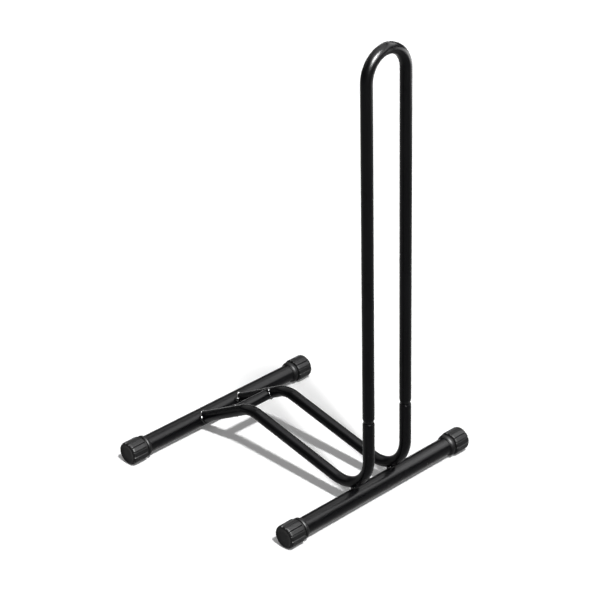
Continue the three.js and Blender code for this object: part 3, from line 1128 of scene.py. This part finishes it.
@dataclass
class SideRail:
    """A bent side rail, from its saddled end on the rear foot to the open socket for the hoop."""

    side: Side
    front_bend: float = 57 * MM
    crest_bend: float = 48 * MM
    front_slope: float = math.radians(13.5)
    rear_slope: float = math.radians(28)
    gap: float = 0.3 * MM
    sides: int = 64
    wall: float = 1.5 * MM
    rim_rounding: float = 0.25 * MM
    rim_taper: float = 0.9 * MM  # how much the edge at the rim is drawn in
    rim_taper_length: float = 3.6 * MM
    rim_steps: int = 8
    rear_bead: BeadSize = field(default_factory=lambda: BeadSize(2.5 * MM))
    front_bead: BeadSize = field(default_factory=lambda: BeadSize(1.9 * MM, stop=0.4))
    front_bead_reach: float = 4.6 * MM
    bead_points: int = 120

    def corners(self, layout: Layout) -> list[Vector]:
        """The centre line's corners.

        Args:
            layout: Where things are.

        Returns:
            The corners on the rear foot, at the crest, under the upright and at the rim.
        """
        x = layout.rail_x * self.side.value
        front, rear = layout.foot_axis[End.FRONT], layout.foot_axis[End.REAR]
        reach = self.front_bend + layout.rail_radius + layout.foot_radius + self.gap
        rearward = self.front_bend + layout.upright_y - front.y
        bend_height = front.z + math.sqrt(reach**2 - rearward**2)
        corner_z = bend_height - self.front_bend * math.tan((math.pi / 2 + self.front_slope) / 2)
        rise, fall = math.tan(self.front_slope), math.tan(self.rear_slope)
        crest_y = (rear.z + fall * rear.y - corner_z + rise * layout.upright_y) / (rise + fall)
        return [
            Vector((x, rear.y, rear.z)),
            Vector((x, crest_y, corner_z + rise * (crest_y - layout.upright_y))),
            Vector((x, layout.upright_y, corner_z)),
            Vector((x, layout.upright_y, layout.rim)),
        ]

    def bend_centre(self, layout: Layout) -> Vector:
        """The centre of the bend that rests on the front foot.

        Args:
            layout: Where things are.

        Returns:
            The centre.
        """
        front = layout.foot_axis[End.FRONT]
        reach = self.front_bend + layout.rail_radius + layout.foot_radius + self.gap
        rearward = self.front_bend + layout.upright_y - front.y
        height = front.z + math.sqrt(reach**2 - rearward**2)
        return Vector((layout.rail_x * self.side.value, layout.upright_y + self.front_bend, height))

    def rear_heading(self, layout: Layout) -> Vector:
        """From the rear foot up the rail."""
        corners = self.corners(layout)
        return (corners[1] - corners[0]).normalized()

    def build(self, shop: Workshop, layout: Layout) -> None:
        """Makes the rail and the beads at its two ends.

        Args:
            shop: The workshop.
            layout: Where things are.
        """
        node = f"{self.side.word}_rail"
        line = CentreLine(self.corners(layout), [self.crest_bend, self.front_bend])
        taper_from = line.length - self.rim_taper_length

        def radius(run: float) -> float:
            """The rail's radius at a run, drawn in at the rim."""
            share = max(0.0, (run - taper_from) / self.rim_taper_length)
            return layout.rail_radius - self.rim_taper * (1 - math.sqrt(1 - min(share, 1.0) ** 2))

        tube = TubeStock(
            line,
            AXIS_X,
            radius,
            bore=layout.rail_radius - self.wall,
            rounding=(SEAM, self.rim_rounding),
        )
        rim_step = self.rim_taper_length / self.rim_steps
        rim_runs = [taper_from + rim_step * k for k in range(self.rim_steps)]
        piece = shop.plain.lay(f"{node}_steel", tube.rings(rim_runs), shop.coat, Sides=self.sides)
        rear = line.corners[0]
        heading = self.rear_heading(layout)
        cope(piece, 0.0, rear, heading, AXIS_X, layout.foot_radius + self.gap / 2)
        shop.deliver(piece, "base", node, Slot.COAT)
        points, outward = cope_line(
            rear, heading, AXIS_X, layout.rail_radius, layout.foot_radius, self.bead_points
        )
        weld = f"rear_{self.side.word}_weld"
        self.rear_bead.lay(shop, f"{weld}_bead", weld, points, outward)
        self.build_front_bead(shop, layout)

    def build_front_bead(self, shop: Workshop, layout: Layout) -> None:
        """Makes the bead round the point where the bend rests on the front foot.

        Args:
            shop: The workshop.
            layout: Where things are.
        """
        centre = self.bend_centre(layout)
        foot = layout.foot_axis[End.FRONT] + AXIS_X * centre.x
        away = (centre - foot).normalized()
        contact = foot + away * (layout.foot_radius + self.gap / 2)
        along = AXIS_X.cross(away)
        bend_radius = self.front_bend + layout.rail_radius
        points, outward = [], []
        for k in range(self.bead_points):
            angle = 2 * math.pi * k / self.bead_points
            x = self.front_bead_reach * math.cos(angle)
            y = self.front_bead_reach * math.sin(angle)
            below = layout.foot_radius - math.sqrt(layout.foot_radius**2 - y**2)
            above = layout.rail_radius - math.sqrt(layout.rail_radius**2 - x**2)
            above += bend_radius - math.sqrt(bend_radius**2 - y**2)
            points.append(contact + AXIS_X * x + along * y + away * (above - below) / 2)
            outward.append((AXIS_X * x + along * y).normalized())
        weld = f"front_{self.side.word}_weld"
        self.front_bead.lay(shop, f"{weld}_bead", weld, points, outward)


@dataclass
class CrossBar:
    """The short bar between the rails, with a bead at each end."""

    gap: float = 0.3 * MM
    sides: int = 64
    bead: BeadSize = field(default_factory=lambda: BeadSize(2.1 * MM, stop=0.12, ripple_height=0.05))
    bead_points: int = 110
    stretches: int = 8  # that its rings cut the bar into

    def build(self, shop: Workshop, layout: Layout, rail: SideRail) -> None:
        """Makes the bar and its beads.

        Args:
            shop: The workshop.
            layout: Where things are.
            rail: Either rail, for the direction of the slope that carries the bar.
        """
        ends = {side: layout.bar_axis + AXIS_X * layout.rail_x * side.value for side in Side}
        line = CentreLine([ends[Side.LEFT], ends[Side.RIGHT]])
        tube = TubeStock(line, AXIS_Z, lambda run: layout.bar_radius, rounding=(SEAM, SEAM))
        extra = [line.length * k / self.stretches for k in range(1, self.stretches)]
        piece = shop.plain.lay("cross_bar_steel", tube.rings(extra), shop.coat, Sides=self.sides)
        crossed = rail.rear_heading(layout)
        for side in Side:
            run = 0.0 if side is Side.LEFT else line.length
            cope(piece, run, ends[side], -AXIS_X * side.value, crossed, layout.rail_radius + self.gap / 2)
        shop.deliver(piece, "base", "cross_bar", Slot.COAT)
        for side in Side:
            weld = f"cross_bar_{side.word}_weld"
            points, outward = cope_line(
                ends[side],
                -AXIS_X * side.value,
                crossed,
                layout.bar_radius,
                layout.rail_radius,
                self.bead_points,
            )
            self.bead.lay(shop, f"{weld}_bead", weld, points, outward)


@dataclass
class Hoop:
    """The tall hoop: a tube bent to an inverted U, with its ends drawn down to spigots."""

    wall: float = 1.5 * MM
    spigot_gap: float = 0.3 * MM
    shoulder: float = 8.5 * MM
    shoulder_swell: float = 1.7  # 1 would round the shoulder off at its top alone
    shoulder_steps: int = 12
    chamfer: float = 1.5 * MM
    sides: int = 64
    leg_ring_spacing: float = 30 * MM

    def radius_at(self, height: float, layout: Layout) -> float:
        """The leg's radius at a height, from the spigot's tip to the full tube.

        Args:
            height: Above the floor.
            layout: Where things are.

        Returns:
            The outer radius.
        """
        full = layout.rail_radius
        spigot = full - self.wall - self.spigot_gap
        if height < layout.spigot_tip + self.chamfer:
            return spigot - self.chamfer / 2 * (1 - (height - layout.spigot_tip) / self.chamfer)
        share = min(1.0, max(0.0, (height - layout.rim) / self.shoulder))
        return spigot + (full - spigot) * math.sin(math.pi / 2 * share) ** self.shoulder_swell

    def build(self, shop: Workshop, layout: Layout) -> None:
        """Makes the hoop.

        Args:
            shop: The workshop.
            layout: Where things are.
        """
        x = layout.rail_x
        top = layout.hoop_top - layout.rail_radius

        def at(side: Side, z: float) -> Vector:
            """A point on a leg's centre line."""
            return Vector((side.value * x, layout.upright_y, z))

        corners = [
            at(Side.LEFT, layout.spigot_tip),
            at(Side.LEFT, top),
            at(Side.RIGHT, top),
            at(Side.RIGHT, layout.spigot_tip),
        ]
        line = CentreLine(corners, [x, x])

        def radius(run: float) -> float:
            """The hoop's radius at a run."""
            return self.radius_at(line.at(run).point.z, layout)

        heights = [layout.spigot_tip + self.chamfer]
        shoulder_step = self.shoulder / self.shoulder_steps
        heights += [layout.rim + shoulder_step * k for k in range(self.shoulder_steps + 1)]
        leg = top - x - layout.rim
        count = round(leg / self.leg_ring_spacing)
        heights += [layout.rim + leg * k / count for k in range(1, count)]
        extra = [z - layout.spigot_tip for z in heights]
        extra += [line.length - run for run in extra]
        tube = TubeStock(line, AXIS_Y, radius, self.wall)
        piece = shop.plain.lay("hoop_steel", tube.rings(extra), shop.coat, Sides=self.sides)
        shop.deliver(piece, "hoop", "hoop", Slot.COAT)


# ------------------------------------------------------------------------------------------- the studio


@dataclass
class Camera:
    """The camera. Its azimuth is seen from the front, and it is rolled a little."""

    azimuth: float = math.radians(-44.63)
    elevation: float = math.radians(27.28)
    roll: float = math.radians(-1.24)
    distance: float = 3.443
    aim: Vector = field(default_factory=lambda: Vector((0.0200, 0.0086, 0.2671)))
    sensor: float = 36.0  # mm
    lens: float = 135.8  # mm
    clip_end: float = 60.0

    def build(self) -> None:
        """Adds the camera."""
        sin_az, cos_az = math.sin(self.azimuth), math.cos(self.azimuth)
        sin_el, cos_el = math.sin(self.elevation), math.cos(self.elevation)
        back = Vector((sin_az * cos_el, -cos_az * cos_el, sin_el))
        level = Vector((cos_az, sin_az, 0))
        up = back.cross(level)
        right = level * math.cos(self.roll) + up * math.sin(self.roll)
        up = up * math.cos(self.roll) - level * math.sin(self.roll)
        turn = Matrix((right, up, back)).transposed().to_4x4()
        data = bpy.data.cameras.new("camera")
        data.lens = self.lens
        data.sensor_width = self.sensor
        data.clip_end = self.clip_end
        camera = bpy.data.objects.new("camera", data)
        camera.matrix_world = Matrix.Translation(self.aim + back * self.distance) @ turn
        bpy.context.scene.collection.objects.link(camera)
        bpy.context.scene.camera = camera


@dataclass(frozen=True)
class SoftBox:
    """A soft box that draws highlights and lights nothing else. Its angles are seen from the rack."""

    name: str
    azimuth: float  # degrees from the front, -Y, towards +X
    elevation: float  # degrees
    width: float
    height: float
    brightness: float
    distance: float = 2.6

    def build(self, target: Vector) -> None:
        """Adds the box, turned to the target.

        Args:
            target: The point that it faces.
        """
        azimuth, elevation = math.radians(self.azimuth), math.radians(self.elevation)
        level = math.cos(elevation)
        away = Vector((math.sin(azimuth) * level, -math.cos(azimuth) * level, math.sin(elevation)))
        data = bpy.data.lights.new(self.name, "AREA")
        data.shape = "RECTANGLE"
        data.size, data.size_y = self.width, self.height
        data.energy = self.brightness * math.pi * self.width * self.height
        box = bpy.data.objects.new(self.name, data)
        box.location = target + away * self.distance
        box.rotation_euler = away.to_track_quat("Z", "Y").to_euler()
        box.visible_camera = False
        box.visible_diffuse = False
        bpy.context.scene.collection.objects.link(box)


@dataclass
class Studio:
    """A pale floor, one key light high at the front, soft boxes around it and a dim room."""

    floor_size: float = 24.0
    key_fall: Vector = field(default_factory=lambda: Vector((0.2, 0.57, -1.0)))  # the way its light travels
    key_strength: float = 3.2
    key_angle: float = math.radians(5)
    zenith: float = 0.25
    horizon: float = 0.08
    target: Vector = field(default_factory=lambda: Vector((0, 0, 0.2)))
    boxes: tuple[SoftBox, ...] = (
        SoftBox("box_overhead", 0, 88, 2.4, 2.4, 9.5),
        SoftBox("box_key", -20, 54, 1.3, 1.2, 320.0),
        SoftBox("box_front", 18, 34, 1.5, 0.9, 18.0),
        SoftBox("box_right", 66, 46, 2.2, 0.9, 15.0),
        SoftBox("box_right_rear", 120, 42, 1.6, 0.7, 6.0),
        SoftBox("box_rear", 180, 38, 3.0, 1.6, 2.6),
        SoftBox("box_near_right", 58, 20, 0.6, 0.4, 13.0, 0.95),
    )

    def build(self) -> None:
        """Adds the floor, the lights and the room."""
        self.build_floor()
        self.build_key()
        for box in self.boxes:
            box.build(self.target)
        self.build_room()

    def build_floor(self) -> None:
        """Adds the floor."""
        half = self.floor_size / 2
        corners = [(-half, -half, 0), (half, -half, 0), (half, half, 0), (-half, half, 0)]
        mesh = bpy.data.meshes.new("floor")
        mesh.from_pydata(corners, [], [(0, 1, 2, 3)])
        mesh.materials.append(StudioPaper().material())
        floor = bpy.data.objects.new("floor", mesh)
        bpy.context.scene.collection.objects.link(floor)

    def build_key(self) -> None:
        """Adds the key light, which casts the rails' shadows to the rear."""
        data = bpy.data.lights.new("key", "SUN")
        data.energy = self.key_strength
        data.angle = self.key_angle
        key = bpy.data.objects.new("key", data)
        key.rotation_euler = self.key_fall.to_track_quat("-Z", "Y").to_euler()
        bpy.context.scene.collection.objects.link(key)

    def build_room(self) -> None:
        """Lights the world: dim at the horizon and a little brighter overhead."""
        world = bpy.data.worlds.new("room")
        world.use_nodes = True
        tree = world.node_tree
        background = tree.nodes["Background"]
        place = add_node(tree, "ShaderNodeTexCoord").outputs["Generated"]
        height = add_node(tree, "ShaderNodeSeparateXYZ", {"Vector": place}).outputs["Z"]
        strength = add_node(
            tree,
            "ShaderNodeMapRange",
            {"Value": height, "To Min": self.horizon, "To Max": self.zenith},
        )
        background.inputs["Color"].default_value = (1, 1, 1, 1)
        tree.links.new(strength.outputs["Result"], background.inputs["Strength"])
        bpy.context.scene.world = world


def main() -> None:
    """Builds the rack and the studio."""
    logging.basicConfig(level=logging.INFO, format="%(name)s: %(message)s")
    bpy.context.scene.view_settings.view_transform = "Standard"
    Camera().build()
    layout = Layout.read()
    shop = Workshop()
    for end in End:
        Foot(end).build(shop, layout)
    rails = [SideRail(side) for side in Side]
    for rail in rails:
        rail.build(shop, layout)
    CrossBar().build(shop, layout, rails[0])
    Hoop().build(shop, layout)
    Studio().build()


if __name__ == "__main__":
    main()
